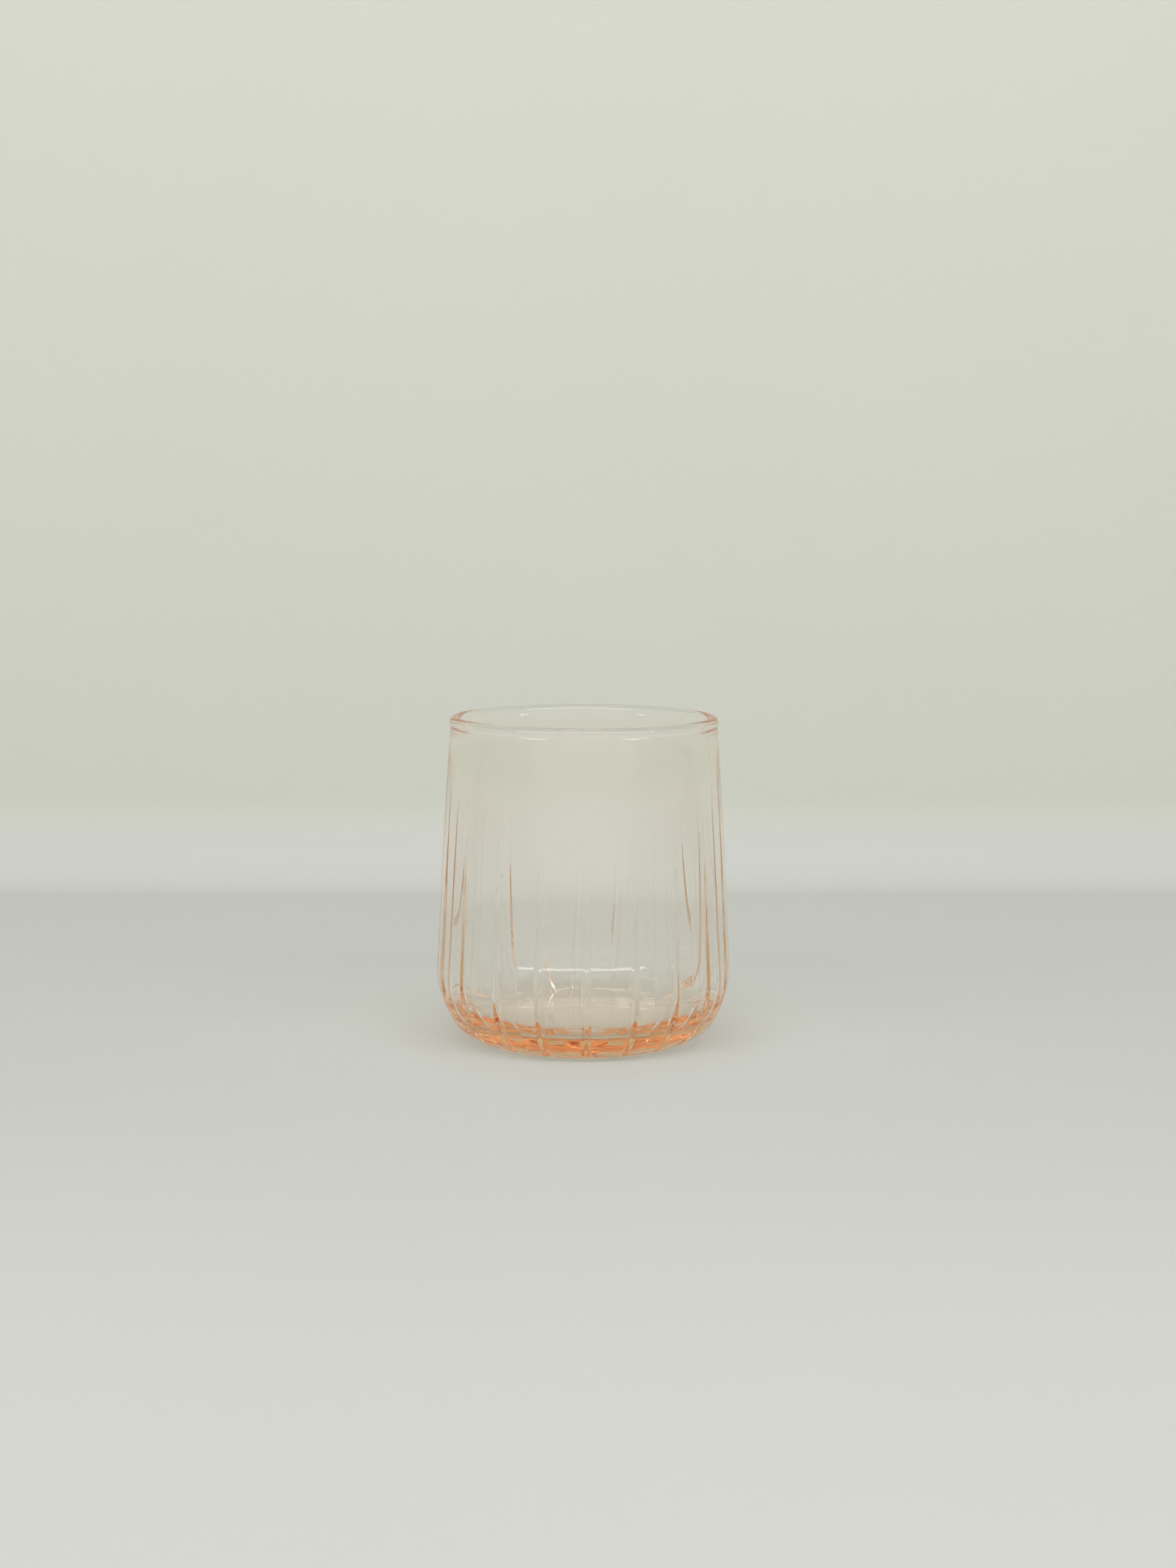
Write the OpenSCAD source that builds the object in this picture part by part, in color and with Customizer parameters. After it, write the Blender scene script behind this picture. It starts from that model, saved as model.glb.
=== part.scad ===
// Juice glass: a heavy-based tumbler of pale pink glass, widest at its rounded heel and drawn in
// towards a fire-polished lip. Narrow grooves part the outside into upright panels. They start
// under the heel, run round it and up the wall, and fade out below the lip.
// The glass stands on the XY plane with its axis on Z, and one groove faces -Y.

/* [Glass] */
// Height from the table to the top of the lip
glass_height = 84.5; // [70:0.5:112]
// Widest diameter, at the top of the heel
widest_d = 76.9; // [73:0.1:90]
// Diameter of the wall where the lip piece begins
neck_d = 69.8; // [64:0.1:73]
// Thickness of the side wall
wall_t = 3.2; // [2.2:0.1:3.8]
// Thickness of the floor
floor_t = 6.7; // [5:0.1:10]

/* [Heel] */
// Radius of the heel beside the sole
heel_low_r = 11.2; // [9:0.2:13]
// Radius of the heel below the wall
heel_high_r = 25.2; // [21:0.2:28]
// Angle from the sole round the heel at which its two radii meet
heel_join = 58; // [50:1:66]
// Radius inside, between the wall and the floor
inside_heel_r = 10.8; // [9:0.2:13]

/* [Panels] */
// Number of panels, and of grooves between them
panel_count = 20; // [12:1:24]
// Width of a groove
groove_w = 2.2; // [1:0.1:2.6]
// Depth of a groove at the top of the heel
groove_depth = 0.6; // [0.4:0.05:1.1]
// Height of the plain band that the grooves leave at the top
plain_h = 15; // [10:1:40]
// Angle from the sole round the heel at which the grooves begin
groove_start = 13; // [8:1:22]

/* [Lip] */
// Height of the lip piece
lip_h = 5.6; // [4.4:0.2:7]
// Diameter of the round bead that ends the lip
lip_bead_d = 2.9; // [2:0.1:3.4]
// How far the bead stands out past the wall
lip_stand_out = 0.3; // [0.1:0.05:0.6]

/* [Sole] */
// Width of the flat ring under the floor that the glass stands on
bearing_w = 3; // [1:0.5:8]
// Rise of the shallow hollow inside that ring
hollow_rise = 0.1; // [0.1:0.1:1]

/* [Hidden] */
$fn = 96;
glass_colour = [0.96, 0.76, 0.68, 0.45];
// How far a cutter reaches past the face that it opens
cut_past = 2;

lip_z = glass_height - lip_h;
groove_top = glass_height - plain_h;
widest_r = widest_d / 2;

// Unit vector in a section, at an angle from straight down towards the outside
function round_from_sole(angle) = [sin(angle), -cos(angle)];

// Centres of the two heel arcs, as [radius, height]
high_centre = [
    widest_r - heel_high_r,
    heel_low_r + (heel_high_r - heel_low_r) * cos(heel_join)
];
low_centre = high_centre + (heel_high_r - heel_low_r) * round_from_sole(heel_join);
sole_r = low_centre.x;

// The wall is the tangent from the neck to the upper heel arc, and leans in by wall_lean
neck_from_centre = [neck_d / 2, lip_z] - high_centre;
wall_lean = atan2(neck_from_centre.y, neck_from_centre.x)
    - acos(heel_high_r / norm(neck_from_centre));
wall_foot = high_centre + heel_high_r * round_from_sole(90 + wall_lean);

function outer_r(z) = wall_foot.x - (z - wall_foot.y) * tan(wall_lean);
function inner_r(z) = outer_r(z) - wall_t / cos(wall_lean);

// Centre of the arc inside, which touches the inner wall and the floor
inside_z = floor_t + inside_heel_r;
inside_centre = [inner_r(inside_z) - inside_heel_r / cos(wall_lean), inside_z];
inside_foot_z = inside_z + inside_heel_r * sin(wall_lean);
heel_z = max(wall_foot.y, inside_foot_z);
floor_r = min(inside_centre.x, sole_r);
hollow_r = floor_r - bearing_w;

// The lip's bead
bead_r = lip_bead_d / 2;
bead_z = glass_height - bead_r;
bead_centre_r = outer_r(bead_z) + lip_stand_out - bead_r;

// The bottom of a groove in section: an arc that leaves the heel at groove_start, an arc round the
// rest of the heel, and a straight run that leaves the wall at groove_top
bottom_high_r = heel_high_r - groove_depth;
bottom_opening = groove_depth * (2 * heel_low_r - groove_depth)
    / (2 * heel_low_r * (1 - cos(heel_join - groove_start)) - 2 * groove_depth);
bottom_low_r = heel_low_r - groove_depth + bottom_opening;
bottom_low_centre = high_centre + (bottom_high_r - bottom_low_r) * round_from_sole(heel_join);
bottom_join = high_centre + bottom_high_r * round_from_sole(heel_join);
fade_point = [outer_r(groove_top), groove_top];
fade_from_centre = fade_point - high_centre;
bottom_lean = atan2(fade_from_centre.y, fade_from_centre.x)
    - acos(bottom_high_r / norm(fade_from_centre));
bottom_foot = high_centre + bottom_high_r * round_from_sole(90 + bottom_lean);
// The panelled wall ends just above the grooves
panel_top_z = groove_top + cut_past;

// A pointed piece of a section, from a centre and between two angles from straight down
module slice(centre, from, to) {
    reach = glass_height;
    polygon([
        centre,
        centre + reach * round_from_sole(from),
        centre + 2 * reach * round_from_sole((from + to) / 2),
        centre + reach * round_from_sole(to)
    ]);
}

// Section of what the grooves leave standing
module groove_bottom() {
    translate(bottom_low_centre)
        circle(bottom_low_r);
    intersection() {
        translate(high_centre)
            circle(bottom_high_r);
        slice(high_centre, heel_join, 90 + bottom_lean);
    }
    polygon([
        [0, bottom_low_centre.y - bottom_low_r],
        [bottom_low_centre.x, bottom_low_centre.y - bottom_low_r],
        bottom_join,
        bottom_foot,
        bottom_foot + 2 * (fade_point - bottom_foot),
        [0, 2 * glass_height]
    ]);
}

// One groove cutter, on the +X side
module groove_cutter() {
    rotate([90, 0, 0])
        linear_extrude(groove_w, center = true)
            difference() {
                translate([floor_r, -cut_past])
                    square([widest_r + cut_past - floor_r, panel_top_z + cut_past]);
                groove_bottom();
            }
}

module all_grooves() {
    for (i = [0 : panel_count - 1])
        rotate(i * 360 / panel_count - 90)
            groove_cutter();
}

// A ring of plain wall between two heights
module wall_ring(low, high) {
    rotate_extrude()
        polygon([
            [inner_r(low), low],
            [outer_r(low), low],
            [outer_r(high), high],
            [inner_r(high), high]
        ]);
}

// What lies outside an arc in a section, between two angles from straight down
module outside_arc(centre, radius, from, to) {
    difference() {
        slice(centre, from, to);
        translate(centre)
            circle(radius);
    }
}

// Section of the heel, from the floor's edge out to its round outside
module heel_section() {
    difference() {
        translate([floor_r, 0])
            square([widest_r + cut_past - floor_r, heel_z]);
        outside_arc(low_centre, heel_low_r, 0, heel_join);
        outside_arc(high_centre, heel_high_r, heel_join - 10, 90 + wall_lean);
        polygon([
            [outer_r(low_centre.y), low_centre.y],
            [widest_d, low_centre.y],
            [widest_d, heel_z + cut_past],
            [outer_r(heel_z + cut_past), heel_z + cut_past]
        ]);
        inside_section();
    }
}

// Section of the hollow inside, up to just past the heel
module inside_section() {
    difference() {
        polygon([
            [floor_r - cut_past, floor_t],
            [inside_centre.x + inside_heel_r, floor_t],
            [inner_r(inside_foot_z), inside_foot_z],
            [inner_r(heel_z + cut_past), heel_z + cut_past],
            [floor_r - cut_past, heel_z + cut_past]
        ]);
        outside_arc(inside_centre, inside_heel_r, 0, 90 + wall_lean);
    }
}

module rim_lip() {
    color(glass_colour)
        rotate_extrude() {
            translate([bead_centre_r, bead_z])
                circle(bead_r);
            polygon([
                [inner_r(lip_z), lip_z],
                [outer_r(lip_z), lip_z],
                [outer_r(bead_z), bead_z],
                [bead_centre_r - bead_r, bead_z]
            ]);
        }
}

module upper_wall() {
    color(glass_colour)
        wall_ring(panel_top_z, lip_z);
}

module panel_wall() {
    color(glass_colour)
        difference() {
            wall_ring(heel_z, panel_top_z);
            all_grooves();
        }
}

module panel_heel() {
    color(glass_colour)
        difference() {
            rotate_extrude()
                heel_section();
            all_grooves();
        }
}

module floor_disc() {
    color(glass_colour)
        rotate_extrude()
            polygon([
                [0, hollow_rise],
                [hollow_r / 2, hollow_rise],
                [hollow_r, 0],
                [floor_r, 0],
                [floor_r, floor_t],
                [0, floor_t]
            ]);
}

rim_lip();
upper_wall();
panel_wall();
panel_heel();
floor_disc();
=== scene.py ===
"""Juice glass of pale pink pressed glass: the looks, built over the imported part.

The glass is one closed skin, turned from its section. A Geometry Nodes tree then sinks the grooves
into the outside and gives the skin the slight waviness of pressed glass.
"""

import math

import bpy
import numpy as np
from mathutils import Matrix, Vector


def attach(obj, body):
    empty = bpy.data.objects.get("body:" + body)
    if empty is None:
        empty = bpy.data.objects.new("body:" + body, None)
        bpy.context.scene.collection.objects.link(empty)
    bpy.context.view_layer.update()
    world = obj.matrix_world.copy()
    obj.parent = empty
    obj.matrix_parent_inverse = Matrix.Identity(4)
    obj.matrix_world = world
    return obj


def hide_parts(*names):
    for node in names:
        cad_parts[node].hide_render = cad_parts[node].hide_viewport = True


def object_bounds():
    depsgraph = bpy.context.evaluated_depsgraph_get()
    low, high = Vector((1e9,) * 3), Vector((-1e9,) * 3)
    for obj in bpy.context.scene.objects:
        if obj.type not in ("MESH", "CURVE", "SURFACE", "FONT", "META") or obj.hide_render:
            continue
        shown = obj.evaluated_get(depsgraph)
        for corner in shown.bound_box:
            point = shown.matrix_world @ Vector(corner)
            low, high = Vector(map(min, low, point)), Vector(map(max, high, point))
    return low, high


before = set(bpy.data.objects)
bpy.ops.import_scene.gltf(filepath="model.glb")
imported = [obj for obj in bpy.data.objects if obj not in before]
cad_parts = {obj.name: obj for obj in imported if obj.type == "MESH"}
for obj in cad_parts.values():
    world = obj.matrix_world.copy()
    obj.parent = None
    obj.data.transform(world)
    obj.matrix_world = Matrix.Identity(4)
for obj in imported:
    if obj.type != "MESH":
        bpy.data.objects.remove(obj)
CAD_BOX = [list(corner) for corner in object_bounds()]

bl_info = {
    "name": "Juice Glass",
    "version": (1, 0, 0),
    "blender": (4, 5, 0),
    "location": "View3D > Sidebar > Juice Glass",
    "description": "Presses a grooved juice glass and sets it on a pale studio sweep",
    "category": "Add Mesh",
}

GLASS_NODES = ("rim_lip", "upper_wall", "panel_wall", "panel_heel", "floor_disc")
SHARE_NAME = "groove_share"
WAVE_SEED = 3.0
WHITE = (1.0, 1.0, 1.0, 1.0)

# Columns of the skin for each groove, and its rings along each stretch of the section
COLUMNS_PER_GROOVE = 46
SOLE_RINGS = 6
LOW_HEEL_RINGS = 21
HIGH_HEEL_RINGS = 13
WALL_RINGS = 9
FILLET_RINGS = 5
BEAD_RINGS = 16
FLARE_RINGS = 7
INSIDE_RINGS = 5
CORNER_RINGS = 26
FLOOR_RINGS = 5
# Distances of two close rings from the edge of the flat sole or floor
FLAT_EDGE_FAR = 0.0003
FLAT_EDGE_NEAR = 0.0001
# Share of the corner's rings that follows its turn, the rest following its length
CORNER_TURN_SHARE = 0.7
# Turn of the heel over which the grooves reach their full depth
GROOVE_RUN_IN = math.radians(24.0)
# Length below the lip over which the inner wall thins towards the bead
INSIDE_FLARE = 0.025

# The sweep, in metres
SWEEP_FRONT = -0.8
SWEEP_BACK = 0.25
SWEEP_BEND = 0.03
SWEEP_TOP = 1.5
SWEEP_HALF_WIDTH = 2.0
SWEEP_BEND_STEPS = 25
TABLE_Z = -0.0001
# Heights between which the table's paper turns into the wall's
WALL_PAPER_FROM = (0.009, 0.030)
# Painted light and shade on the table: where its paper is painted darkest, as shade round the
# glass, and how far from there and by how much it is painted paler, in place of the way the light
# falls off across the table
PAINTED_SHADE_MIDDLE = 0.02
PAINTED_LIGHT_FROM = (0.08, 0.29)
PAINTED_LIGHT_TO = (1.0, 1.06)

# Directions between which the light of the open front turns into the even fill light
FRONT_EDGE = (-0.8, -0.6)
LAMP_HEIGHT = 0.93
STRIP_SIZE = (3.0, 0.18)
STRIP_FORWARD = 0.77
PANEL_SIZE = (0.5, 0.8)
LIGHT_BOUNCES = 64

PHOTO_HEIGHT = 2212
SENSOR_WIDTH = 36.0
CLIP_START = 0.01


def length(name, description, default):
    """A property that holds a length in metres."""
    return bpy.props.FloatProperty(
        name=name, description=description, default=default, min=0.0, precision=5, unit="LENGTH"
    )


def angle(name, description, degrees):
    """A property that holds an angle, given in degrees."""
    return bpy.props.FloatProperty(
        name=name, description=description, default=math.radians(degrees), subtype="ANGLE"
    )


def number(name, description, default):
    """A property that holds a plain number."""
    return bpy.props.FloatProperty(name=name, description=description, default=default, precision=4)


def colour(name, description, default):
    """A property that holds a colour."""
    return bpy.props.FloatVectorProperty(
        name=name, description=description, default=default,
        size=3, min=0.0, max=1.0, subtype="COLOR",
    )


class GlassSizes(bpy.types.PropertyGroup):
    """Sizes of the glass's section. The main ones are the part's own."""

    height: length("Height", "From the table to the top of the lip", CAD_BOX[1][2])
    widest_radius: length("Widest radius", "At the top of the heel", 0.03845)
    neck_radius: length("Neck radius", "Of the wall where the lip begins", 0.0349)
    wall: length("Wall", "Thickness of the side wall", 0.0032)
    wall_bow: length("Wall bow", "How far the wall swells between heel and lip", 0.00022)
    floor: length("Floor", "Thickness of the floor", 0.0067)
    heel_low_radius: length("Lower heel radius", "Beside the sole", 0.0112)
    heel_high_radius: length("Upper heel radius", "Below the wall", 0.0252)
    heel_join: angle("Heel join", "Angle from the sole at which the two heel radii meet", 58.0)
    inside_reach: length("Inside corner reach", "From the inner wall in to the flat floor", 0.0095)
    inside_rise: length("Inside corner rise", "From the floor up to the straight wall", 0.0120)
    inside_square: number("Inside corner squareness", "2 is an ellipse, more is squarer", 2.1)
    lip_height: length("Lip height", "Height of the lip zone", 0.0056)
    bead_radius: length("Bead radius", "Of the round bead that ends the lip", 0.0016)
    bead_out: length("Bead stand-out", "How far the bead stands out past the wall", 0.0003)
    bead_in: length("Bead stand-in", "How far the bead stands in past the wall inside", 0.0001)
    bead_fillet: length("Bead fillet", "Radius of the hollow under the bead", 0.0008)
    bearing_width: length("Bearing ring", "Width of the ring that the glass stands on", 0.003)
    hollow_rise: length("Sole hollow", "Rise of the hollow under the floor", 0.0001)


class GrooveSizes(bpy.types.PropertyGroup):
    """Sizes of the grooves that part the panels."""

    count: bpy.props.IntProperty(
        name="Grooves", description="Grooves round the glass", default=20, min=3
    )
    radius: length("Groove radius", "Of a groove's round bottom", 0.0012)
    depth: length("Groove depth", "On the heel", 0.0007)
    fade: number("Fade", "How early the grooves get shallow up the wall", 1.6)
    soft_edge: length("Soft edge", "How far fire polishing has softened the edges", 0.00008)
    crown: number("Panel crown", "Rise of a panel's middle, as a share of the groove's depth", 0.3)
    start: angle("Groove start", "Angle from the sole at which the grooves begin", 13.0)
    plain_band: length("Plain band", "Height above the grooves' upper ends", 0.015)
    waviness: length("Waviness", "Height of the slight waves of the pressed skin", 0.000004)
    wave_length: length("Wave length", "Distance between those waves", 0.011)


class GlassFinish(bpy.types.PropertyGroup):
    """Finish of the pink glass."""

    tint: colour("Tint", "Light that the glass lets through best", (0.837, 0.465, 0.0))
    tint_density: number("Tint density", "Strength of the tint, per metre of glass", 17.2)
    ior: number("Refraction", "Index of refraction of the glass", 1.52)


class StageLook(bpy.types.PropertyGroup):
    """The sweep, the light and the camera."""

    wall_paper: colour("Wall paper", "Colour of the sweep behind the glass", (0.61, 0.62, 0.55))
    table_paper: colour("Table paper", "Colour of the sweep under the glass", (0.537, 0.547, 0.517))
    sky: number("Fill light", "Strength of the even light from all round", 0.63)
    front: number("Front light", "Light from the open front, as a share of the fill light", 1.45)
    strip_power: number("Strip lamp", "Power of the long lamp above the front, in watts", 11.0)
    panel_power: number("Panel lamp", "Power of the panel overhead, in watts", 0.8)
    camera_distance: length("Camera distance", "Level distance from the glass's axis", 0.6092)
    camera_height: length("Camera height", "Above the table", 0.14215)
    camera_aside: length("Camera aside", "Sideways from the glass's axis", 0.00087)
    camera_pitch: angle("Camera pitch", "Downward tilt", 7.07)
    camera_roll: angle("Camera roll", "Turn about the line of sight", -0.17)
    camera_turn: angle("Camera turn", "Turn round the axis, to set a groove off centre", -1.4)
    focal_pixels: number("Focal length", "In pixels of the photograph", 3324.0)


def from_sole(turn):
    """Unit vector in a section, at an angle from straight down towards the outside."""
    return np.array([math.sin(turn), -math.cos(turn)])


def smooth(low, high, value):
    """0 below low, 1 above high and an even S between them."""
    t = min(max((value - low) / (high - low), 0.0), 1.0)
    return t * t * (3 - 2 * t)


def touch_lean(point, centre, radius):
    """Inward lean of the line from a point that touches a circle on its outer side."""
    away = point - centre
    return math.atan2(away[1], away[0]) - math.acos(radius / np.hypot(*away))


class Section:
    """The glass's section: rings as (radius, height, share of the groove's depth)."""

    def __init__(self, sizes, grooves):
        self.sizes = sizes
        self.grooves = grooves
        s = sizes
        join = from_sole(s.heel_join)
        spread = s.heel_high_radius - s.heel_low_radius
        self.high = np.array([s.widest_radius - s.heel_high_radius,
                              s.heel_low_radius + spread * math.cos(s.heel_join)])
        self.low = self.high + spread * join
        self.lip_z = s.height - s.lip_height
        neck = np.array([s.neck_radius, self.lip_z])
        self.lean = touch_lean(neck, self.high, s.heel_high_radius)
        self.foot = self.high + s.heel_high_radius * from_sole(math.pi / 2 + self.lean)
        self.inside_top = s.floor + s.inside_rise
        self.floor_r = self.inner(s.floor) - s.inside_reach
        bead_z = s.height - s.bead_radius
        self.bead = np.array([self.outer(bead_z) + s.bead_out - s.bead_radius, bead_z])
        self.bead_end = math.acos(1 - s.bead_in / s.bead_radius)
        self.groove_top = s.height - grooves.plain_band

    def outer(self, z):
        """Radius of the plain outer wall."""
        return self.foot[0] - (z - self.foot[1]) * math.tan(self.lean)

    def inner(self, z):
        """Radius of the plain inner wall."""
        return self.outer(z) - self.sizes.wall / math.cos(self.lean)

    def heel_share(self, turn):
        """Share of the groove's depth on the lower heel, none before the grooves begin."""
        start = self.grooves.start
        return smooth(start, start + GROOVE_RUN_IN, turn)

    def sole(self):
        """Rings of the sole, with its gentle hollow."""
        edge = self.low[0]
        hollow_r = edge - self.sizes.bearing_width
        rings = []
        for r in [*np.linspace(0, edge - FLAT_EDGE_FAR, SOLE_RINGS), edge - FLAT_EDGE_NEAR]:
            rise = max(0.0, 1 - (r / hollow_r) ** 2) ** 2
            rings.append((r, self.sizes.hollow_rise * rise, 0.0))
        return rings

    def heel(self):
        """Rings of the outer heel."""
        s = self.sizes
        rings = []
        for turn in np.linspace(0, s.heel_join, LOW_HEEL_RINGS)[:-1]:
            r, z = self.low + s.heel_low_radius * from_sole(turn)
            rings.append((r, z, self.heel_share(turn)))
        for turn in np.linspace(s.heel_join, math.pi / 2 + self.lean, HIGH_HEEL_RINGS)[:-1]:
            r, z = self.high + s.heel_high_radius * from_sole(turn)
            rings.append((r, z, 1.0))
        return rings

    def wall(self, top):
        """Rings of the outer wall up to a height."""
        rings = []
        for z in np.linspace(self.foot[1], top, WALL_RINGS)[:-1]:
            t = (z - self.foot[1]) / (self.lip_z - self.foot[1])
            bow = self.sizes.wall_bow * 16 * (t * (1 - t)) ** 2 if t < 1 else 0.0
            share = max(0.0, (self.groove_top - z) / (self.groove_top - self.foot[1]))
            rings.append((self.outer(z) + bow, z, share ** self.grooves.fade))
        return rings

    def lip(self):
        """Rings of the hollow under the bead and of the bead."""
        s = self.sizes
        outward = np.array([math.cos(self.lean), math.sin(self.lean)])
        upward = np.array([-math.sin(self.lean), math.cos(self.lean)])
        across = s.bead_fillet - float((self.bead - self.foot) @ outward)
        along = math.sqrt((s.bead_radius + s.bead_fillet) ** 2 - across ** 2)
        fillet = self.bead + across * outward - along * upward
        start = math.pi + self.lean
        meet = math.atan2(along, -across) + self.lean
        rings = []
        for turn in np.linspace(start, meet, FILLET_RINGS)[:-1]:
            r, z = fillet + s.bead_fillet * np.array([math.cos(turn), math.sin(turn)])
            rings.append((r, z, 0.0))
        for turn in np.linspace(meet - math.pi, math.pi + self.bead_end, BEAD_RINGS):
            r, z = self.bead + s.bead_radius * np.array([math.cos(turn), math.sin(turn)])
            rings.append((r, z, 0.0))
        return rings

    def hollow(self):
        """Rings of the inside, from under the bead to the middle of the floor."""
        s = self.sizes
        neck = self.bead[0] - s.bead_radius * math.cos(self.bead_end) + s.bead_in / 3
        neck_z = self.bead[1] - s.bead_radius * math.sin(self.bead_end) - s.bead_in
        blend_z = self.lip_z - INSIDE_FLARE
        flare = neck - self.inner(neck_z)
        heights = np.concatenate([
            np.linspace(neck_z, blend_z, FLARE_RINGS),
            np.linspace(blend_z, self.inside_top, INSIDE_RINGS)[1:-1],
        ])
        rings = []
        for z in heights:
            rings.append((self.inner(z) + flare * smooth(blend_z, neck_z, z), z, 0.0))
        rings += [(r, z, 0.0) for r, z in self.inside_corner(CORNER_RINGS)]
        edge = self.floor_r
        for r in [edge - FLAT_EDGE_NEAR, *np.linspace(edge - FLAT_EDGE_FAR, 0, FLOOR_RINGS)]:
            rings.append((r, s.floor, 0.0))
        return rings

    def inside_corner(self, count):
        """Points of the corner inside, from the wall to the floor, spaced by turn and length."""
        s = self.sizes
        t = np.linspace(0, math.pi / 2, 2001)
        power = 2 / s.inside_square
        z = s.floor + s.inside_rise * (1 - np.sin(t) ** power)
        r = self.inner(z) - s.inside_reach * (1 - np.abs(np.cos(t)) ** power)
        bend = np.unwrap(np.arctan2(np.diff(z), np.diff(r)))
        turned = np.concatenate([np.abs(bend - bend[0]) / np.ptp(bend), [1.0]])
        along = np.concatenate([[0], np.cumsum(np.hypot(np.diff(r), np.diff(z)))])
        way = CORNER_TURN_SHARE * turned + (1 - CORNER_TURN_SHARE) * along / along[-1]
        pick = np.linspace(0, 1, count)
        return np.stack([np.interp(pick, way, r), np.interp(pick, way, z)], -1)

    def rings(self):
        """All rings, from the middle of the sole round to the middle of the floor."""
        lip = self.lip()
        return self.sole() + self.heel() + self.wall(lip[0][1]) + lip + self.hollow()


def column_angles(count):
    """Angles of the skin's columns, evenly spaced so that plain zones stay truly round."""
    columns = count * COLUMNS_PER_GROOVE
    return np.arange(columns) * 2 * math.pi / columns


def turned_skin(rings, angles):
    """Closed mesh turned from the rings, with the groove's share stored on its points."""
    m = len(angles)
    around = np.stack([np.sin(angles), -np.cos(angles), np.zeros(m)], -1)
    body = rings[1:-1]
    points = np.concatenate([around * r + np.array([0, 0, z]) for r, z, _ in body])
    points = np.concatenate([points, [[0, 0, rings[0][1]], [0, 0, rings[-1][1]]]])
    share = np.concatenate([np.repeat([ring[2] for ring in body], m), [0, 0]])
    sole_pole = len(body) * m
    here = np.arange(m)
    after = np.roll(here, -1)
    faces = []
    for i in range(len(body) - 1):
        low, high = i * m, (i + 1) * m
        faces += np.stack([low + here, low + after, high + after, high + here], -1).tolist()
    faces += np.stack([np.full(m, sole_pole), after, here], -1).tolist()
    top = (len(body) - 1) * m
    faces += np.stack([np.full(m, sole_pole + 1), top + here, top + after], -1).tolist()
    mesh = bpy.data.meshes.new("turned_skin")
    mesh.from_pydata(points.tolist(), [], faces)
    attribute = mesh.attributes.new(SHARE_NAME, "FLOAT", "POINT")
    attribute.data.foreach_set("value", share.astype(np.float32))
    mesh.update()
    return mesh


class TreeMaker:
    """Small helper that lays nodes into a tree and feeds their inputs."""

    def __init__(self, tree):
        self.tree = tree

    def feed(self, socket, value):
        """Links an output to a socket, or gives the socket a plain value."""
        if hasattr(value, "is_output"):
            self.tree.links.new(value, socket)
        else:
            socket.default_value = value

    def fill(self, node, feeds):
        """Feeds a node's inputs, given by name or place."""
        for socket, value in feeds.items():
            self.feed(node.inputs[socket], value)

    def node(self, kind, feeds=None, **settings):
        made = self.tree.nodes.new(kind)
        for key, value in settings.items():
            setattr(made, key, value)
        self.fill(made, feeds or {})
        return made

    def math(self, operation, *values):
        return self.node("ShaderNodeMath", dict(enumerate(values)), operation=operation).outputs[0]

    def scaled(self, vector, scale):
        feeds = {0: vector, "Scale": scale}
        return self.node("ShaderNodeVectorMath", feeds, operation="SCALE").outputs[0]

    def split(self, vector):
        return self.node("ShaderNodeSeparateXYZ", {0: vector}).outputs

    def ramp(self, value, source, target, interpolation="LINEAR"):
        """Takes a value from one range to another."""
        feeds = {
            "Value": value,
            "From Min": source[0], "From Max": source[1],
            "To Min": target[0], "To Max": target[1],
        }
        made = self.node("ShaderNodeMapRange", feeds, interpolation_type=interpolation)
        return made.outputs[0]


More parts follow.
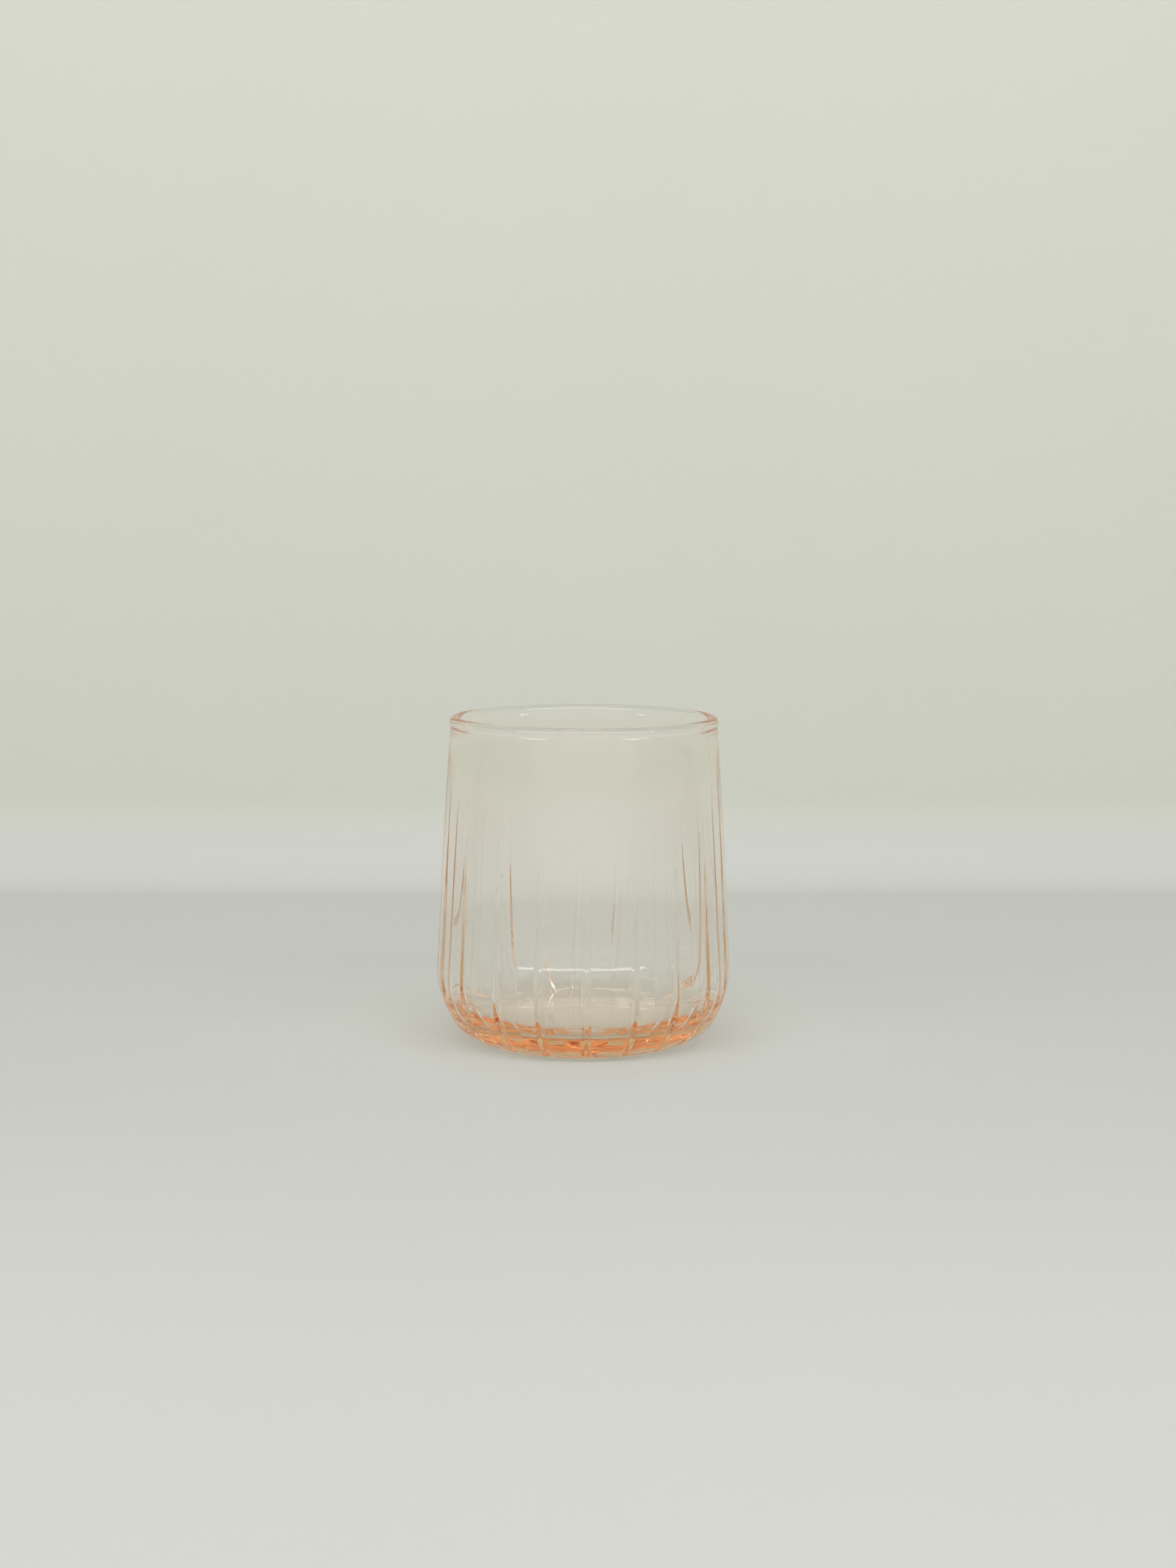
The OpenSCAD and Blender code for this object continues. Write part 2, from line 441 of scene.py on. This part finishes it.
def groove_tree():
    """Geometry Nodes tree that sinks evenly spaced round grooves into a turned skin."""
    tree = bpy.data.node_groups.new("sunk_grooves", "GeometryNodeTree")
    face = tree.interface
    face.new_socket("Geometry", in_out="INPUT", socket_type="NodeSocketGeometry")
    face.new_socket("Count", in_out="INPUT", socket_type="NodeSocketInt")
    for name in ("Radius", "Depth", "Soft Edge", "Crown", "Waviness", "Wave Length", "Seed"):
        face.new_socket(name, in_out="INPUT", socket_type="NodeSocketFloat")
    face.new_socket("Material", in_out="INPUT", socket_type="NodeSocketMaterial")
    face.new_socket("Geometry", in_out="OUTPUT", socket_type="NodeSocketGeometry")
    make = TreeMaker(tree)
    given = make.node("NodeGroupInput").outputs
    position = make.node("GeometryNodeInputPosition").outputs[0]
    normal = make.node("GeometryNodeInputNormal").outputs["Normal"]
    share = make.node("GeometryNodeInputNamedAttribute", {"Name": SHARE_NAME}, data_type="FLOAT")
    x, y, _ = make.split(position)

    def squared(value):
        return make.math("MULTIPLY", value, value)

    # Distance along the skin from the nearest groove's middle
    turn = make.math("ARCTAN2", x, make.math("MULTIPLY", y, -1.0))
    pitch = make.math("DIVIDE", 2 * math.pi, given["Count"])
    turns = make.math("DIVIDE", turn, pitch)
    off = make.math("SUBTRACT", turns, make.math("ROUND", turns))
    radius = make.math("SQRT", make.math("ADD", squared(x), squared(y)))
    aside = make.math("MULTIPLY", make.math("MULTIPLY", off, pitch), radius)

    # Round groove, with its edges softened by fire polishing
    depth = make.math("MULTIPLY", given["Depth"], share.outputs["Attribute"])
    rho = given["Radius"]
    soft = squared(given["Soft Edge"])

    def softened(cut):
        root = make.math("SQRT", make.math("ADD", squared(cut), soft))
        return make.math("MULTIPLY", make.math("ADD", cut, root), 0.5)

    inside = make.math("SUBTRACT", squared(rho), squared(aside))
    shallow = make.math("SUBTRACT", depth, rho)
    cut = make.math("ADD", make.math("SQRT", make.math("MAXIMUM", inside, 0.0)), shallow)
    sunk = make.math("SUBTRACT", softened(cut), softened(make.math("SUBTRACT", cut, depth)))
    fall = make.math("MULTIPLY", squared(off), 4.0)
    crown = make.math("MULTIPLY", make.math("MULTIPLY", depth, given["Crown"]), fall)
    sunk = make.math("ADD", sunk, crown)

    # Slight waves of the pressed skin, least on the flat sole and floor
    noise = make.node("ShaderNodeTexNoise", noise_dimensions="4D")
    make.fill(noise, {
        "Vector": position,
        "W": given["Seed"],
        "Scale": make.math("DIVIDE", 1.0, given["Wave Length"]),
        "Detail": 1.0,
    })
    wave = make.math("MULTIPLY", make.math("SUBTRACT", noise.outputs[0], 0.5), given["Waviness"])
    level = squared(make.split(normal)[2])
    wave = make.math("MULTIPLY", wave, make.math("SUBTRACT", 1.0, level))
    outward = make.math("SUBTRACT", make.math("MULTIPLY", wave, 2.0), sunk)

    skin = given["Geometry"]
    for kind, feeds in (
            ("GeometryNodeSetPosition", {"Offset": make.scaled(normal, outward)}),
            ("GeometryNodeSetShadeSmooth", {}),
            ("GeometryNodeRemoveAttribute", {"Name": SHARE_NAME}),
            ("GeometryNodeRealizeInstances", {}),
            ("GeometryNodeSetMaterial", {"Material": given["Material"]})):
        skin = make.node(kind, {"Geometry": skin, **feeds}).outputs[0]
    make.node("NodeGroupOutput", {0: skin})
    return tree


def made_plain(obj, tree, values):
    """Runs a tree on an object and leaves its result as the object's own mesh."""
    modifier = obj.modifiers.new("sunk_grooves", "NODES")
    modifier.node_group = tree
    for item in tree.interface.items_tree:
        if item.item_type == "SOCKET" and item.in_out == "INPUT" and item.name in values:
            modifier[item.identifier] = values[item.name]
    graph = bpy.context.evaluated_depsgraph_get()
    mesh = bpy.data.meshes.new_from_object(obj.evaluated_get(graph), depsgraph=graph)
    obj.modifiers.remove(modifier)
    plain = obj.data
    obj.data = mesh
    mesh.name = obj.name
    bpy.data.meshes.remove(plain)


def new_material(name):
    """A new material, the maker for its tree and its surface node."""
    material = bpy.data.materials.new(name)
    material.use_nodes = True
    make = TreeMaker(material.node_tree)
    return material, make, material.node_tree.nodes["Principled BSDF"]


def pink_glass(finish):
    """Clear pink glass with the faint ripple and polish marks of a pressed skin."""
    material, make, surface = new_material("pink_pressed_glass")
    where = make.node("ShaderNodeTexCoord").outputs["Object"]

    # Polish: mirror-smooth, a little duller in faint patches
    patches = make.node("ShaderNodeTexNoise", {"Vector": where, "Scale": 90.0, "Detail": 3.0})
    polish = make.ramp(patches.outputs[0], (0.45, 0.75), (0.0, 0.012))

    # Ripple left by the mould
    ripple = make.node("ShaderNodeTexNoise", {"Vector": where, "Scale": 240.0, "Detail": 1.5})
    bump = make.node("ShaderNodeBump", {
        "Strength": 0.02,
        "Distance": 0.00008,
        "Height": ripple.outputs[0],
    })

    make.fill(surface, {
        "Base Color": WHITE,
        "Transmission Weight": 1.0,
        "IOR": finish.ior,
        "Roughness": polish,
        "Normal": bump.outputs[0],
    })
    tint = make.node("ShaderNodeVolumeAbsorption", {
        "Color": (*finish.tint, 1.0),
        "Density": finish.tint_density,
    })
    make.fill(make.tree.nodes["Material Output"], {"Volume": tint.outputs[0]})
    return material


def sweep_paper(look):
    """Matt pale paper with a faint mottle, and painted light and shade across the table."""
    material, make, surface = new_material("sweep_paper")
    where = make.node("ShaderNodeTexCoord").outputs["Object"]
    _, y, z = make.split(where)

    # Painted shade and light: the table's paper is painted darkest round the glass and paler
    # towards its front edge and the bend, in place of the way the light falls across the table
    apart = make.math("ABSOLUTE", make.math("SUBTRACT", y, PAINTED_SHADE_MIDDLE))
    painted_falloff = make.ramp(apart, PAINTED_LIGHT_FROM, PAINTED_LIGHT_TO, "SMOOTHSTEP")
    paper = make.node("ShaderNodeMix", data_type="RGBA")
    make.fill(paper, {
        "Factor": make.ramp(z, WALL_PAPER_FROM, (0.0, 1.0), "SMOOTHSTEP"),
        "A": make.scaled(look.table_paper, painted_falloff),
        "B": (*look.wall_paper, 1.0),
    })
    mottle = make.node("ShaderNodeTexNoise", {"Vector": where, "Scale": 6.0, "Detail": 3.0})
    grain = make.ramp(mottle.outputs[0], (0.0, 1.0), (0.985, 1.015))
    make.fill(surface, {
        "Base Color": make.scaled(paper.outputs["Result"], grain),
        "Roughness": 0.9,
        "Specular IOR Level": 0.2,
    })

    # From its back the sweep is clear, so that it never hides the glass
    sided = make.node("ShaderNodeMixShader", {
        "Fac": make.node("ShaderNodeNewGeometry").outputs["Backfacing"],
        1: surface.outputs[0],
        2: make.node("ShaderNodeBsdfTransparent").outputs[0],
    })
    make.fill(make.tree.nodes["Material Output"], {"Surface": sided.outputs[0]})
    return material


def place(obj):
    """Puts an object in the scene."""
    bpy.context.scene.collection.objects.link(obj)
    return obj


class JUICEGLASS_OT_press_glass(bpy.types.Operator):
    """Turn the glass's skin, sink its grooves and dress it in pink glass"""

    bl_idname = "juice_glass.press_glass"
    bl_label = "Press Glass"

    def execute(self, context):
        sizes = context.scene.glass_sizes
        grooves = context.scene.groove_sizes
        section = Section(sizes, grooves)
        skin = turned_skin(section.rings(), column_angles(grooves.count))
        glass = place(bpy.data.objects.new("pressed_glass", skin))
        made_plain(glass, groove_tree(), {
            "Count": grooves.count,
            "Radius": grooves.radius,
            "Depth": grooves.depth,
            "Soft Edge": grooves.soft_edge,
            "Crown": grooves.crown,
            "Waviness": grooves.waviness,
            "Wave Length": grooves.wave_length,
            "Seed": WAVE_SEED,
            "Material": pink_glass(context.scene.glass_finish),
        })
        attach(glass, "root")
        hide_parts(*GLASS_NODES)
        return {"FINISHED"}


class JUICEGLASS_OT_set_stage(bpy.types.Operator):
    """Lay the pale sweep, light it softly and set up the camera"""

    bl_idname = "juice_glass.set_stage"
    bl_label = "Set Stage"

    def execute(self, context):
        scene = context.scene
        look = scene.stage_look
        self.lay_sweep(look)
        self.fill_light(scene, look)
        self.hang_lamp("front_strip", look.strip_power, STRIP_SIZE, STRIP_FORWARD)
        self.hang_lamp("top_panel", look.panel_power, PANEL_SIZE, 0.0)
        self.set_camera(scene, look)
        scene.view_settings.view_transform = "Standard"
        scene.cycles.max_bounces = LIGHT_BOUNCES
        scene.cycles.transmission_bounces = LIGHT_BOUNCES
        scene.cycles.glossy_bounces = LIGHT_BOUNCES
        scene.cycles.blur_glossy = 0.0
        return {"FINISHED"}

    def lay_sweep(self, look):
        bend_y = SWEEP_BACK - SWEEP_BEND
        bend_z = TABLE_Z + SWEEP_BEND
        section = [(SWEEP_FRONT, TABLE_Z), (bend_y, TABLE_Z)]
        for turn in np.linspace(0, math.pi / 2, SWEEP_BEND_STEPS)[1:]:
            y, z = SWEEP_BEND * from_sole(turn)
            section.append((bend_y + y, bend_z + z))
        section.append((SWEEP_BACK, SWEEP_TOP))
        points = []
        for y, z in section:
            points += [(-SWEEP_HALF_WIDTH, y, z), (SWEEP_HALF_WIDTH, y, z)]
        faces = [(2 * i, 2 * i + 1, 2 * i + 3, 2 * i + 2) for i in range(len(section) - 1)]
        mesh = bpy.data.meshes.new("sweep")
        mesh.from_pydata(points, [], faces)
        mesh.polygons.foreach_set("use_smooth", [True] * len(faces))
        mesh.materials.append(sweep_paper(look))
        place(bpy.data.objects.new("sweep", mesh))

    def fill_light(self, scene, look):
        world = bpy.data.worlds.new("even_light")
        world.use_nodes = True
        make = TreeMaker(world.node_tree)
        where = make.node("ShaderNodeTexCoord").outputs["Generated"]
        levels = (look.front * look.sky, look.sky)
        make.fill(make.tree.nodes["Background"], {
            "Color": WHITE,
            "Strength": make.ramp(make.split(where)["Y"], FRONT_EDGE, levels, "SMOOTHSTEP"),
        })
        scene.world = world

    def hang_lamp(self, name, power, size, forward):
        lamp = bpy.data.lights.new(name, "AREA")
        lamp.shape = "RECTANGLE"
        lamp.size, lamp.size_y = size
        lamp.energy = power
        hung = place(bpy.data.objects.new(name, lamp))
        hung.location = (0.0, -forward, LAMP_HEIGHT)
        hung.rotation_euler = (math.atan2(forward, LAMP_HEIGHT), 0.0, 0.0)

    def set_camera(self, scene, look):
        lens = bpy.data.cameras.new("photo_camera")
        lens.sensor_width = SENSOR_WIDTH
        lens.lens = look.focal_pixels / PHOTO_HEIGHT * SENSOR_WIDTH
        lens.clip_start = CLIP_START
        camera = place(bpy.data.objects.new("photo_camera", lens))
        turn = look.camera_turn
        aside, away = look.camera_aside, -look.camera_distance
        camera.location = (
            aside * math.cos(turn) - away * math.sin(turn),
            aside * math.sin(turn) + away * math.cos(turn),
            look.camera_height,
        )
        camera.rotation_euler = (math.pi / 2 - look.camera_pitch, look.camera_roll, turn)
        scene.camera = camera


class JUICEGLASS_PT_sidebar(bpy.types.Panel):
    """Lists the glass's sizes, finish and stage"""

    bl_label = "Juice Glass"
    bl_idname = "JUICEGLASS_PT_sidebar"
    bl_space_type = "VIEW_3D"
    bl_region_type = "UI"
    bl_category = "Juice Glass"

    def draw(self, context):
        layout = self.layout
        scene = context.scene
        for group in (scene.glass_sizes, scene.groove_sizes, scene.glass_finish):
            for name in group.__annotations__:
                layout.prop(group, name)
        layout.operator(JUICEGLASS_OT_press_glass.bl_idname)
        for name in scene.stage_look.__annotations__:
            layout.prop(scene.stage_look, name)
        layout.operator(JUICEGLASS_OT_set_stage.bl_idname)


GROUPS = {
    "glass_sizes": GlassSizes,
    "groove_sizes": GrooveSizes,
    "glass_finish": GlassFinish,
    "stage_look": StageLook,
}
CLASSES = (
    *GROUPS.values(),
    JUICEGLASS_OT_press_glass,
    JUICEGLASS_OT_set_stage,
    JUICEGLASS_PT_sidebar,
)


def register():
    for cls in CLASSES:
        bpy.utils.register_class(cls)
    for name, group in GROUPS.items():
        setattr(bpy.types.Scene, name, bpy.props.PointerProperty(type=group))


def unregister():
    for name in GROUPS:
        delattr(bpy.types.Scene, name)
    for cls in reversed(CLASSES):
        bpy.utils.unregister_class(cls)


def main():
    register()
    bpy.ops.juice_glass.press_glass()
    bpy.ops.juice_glass.set_stage()


if __name__ == "__main__":
    main()
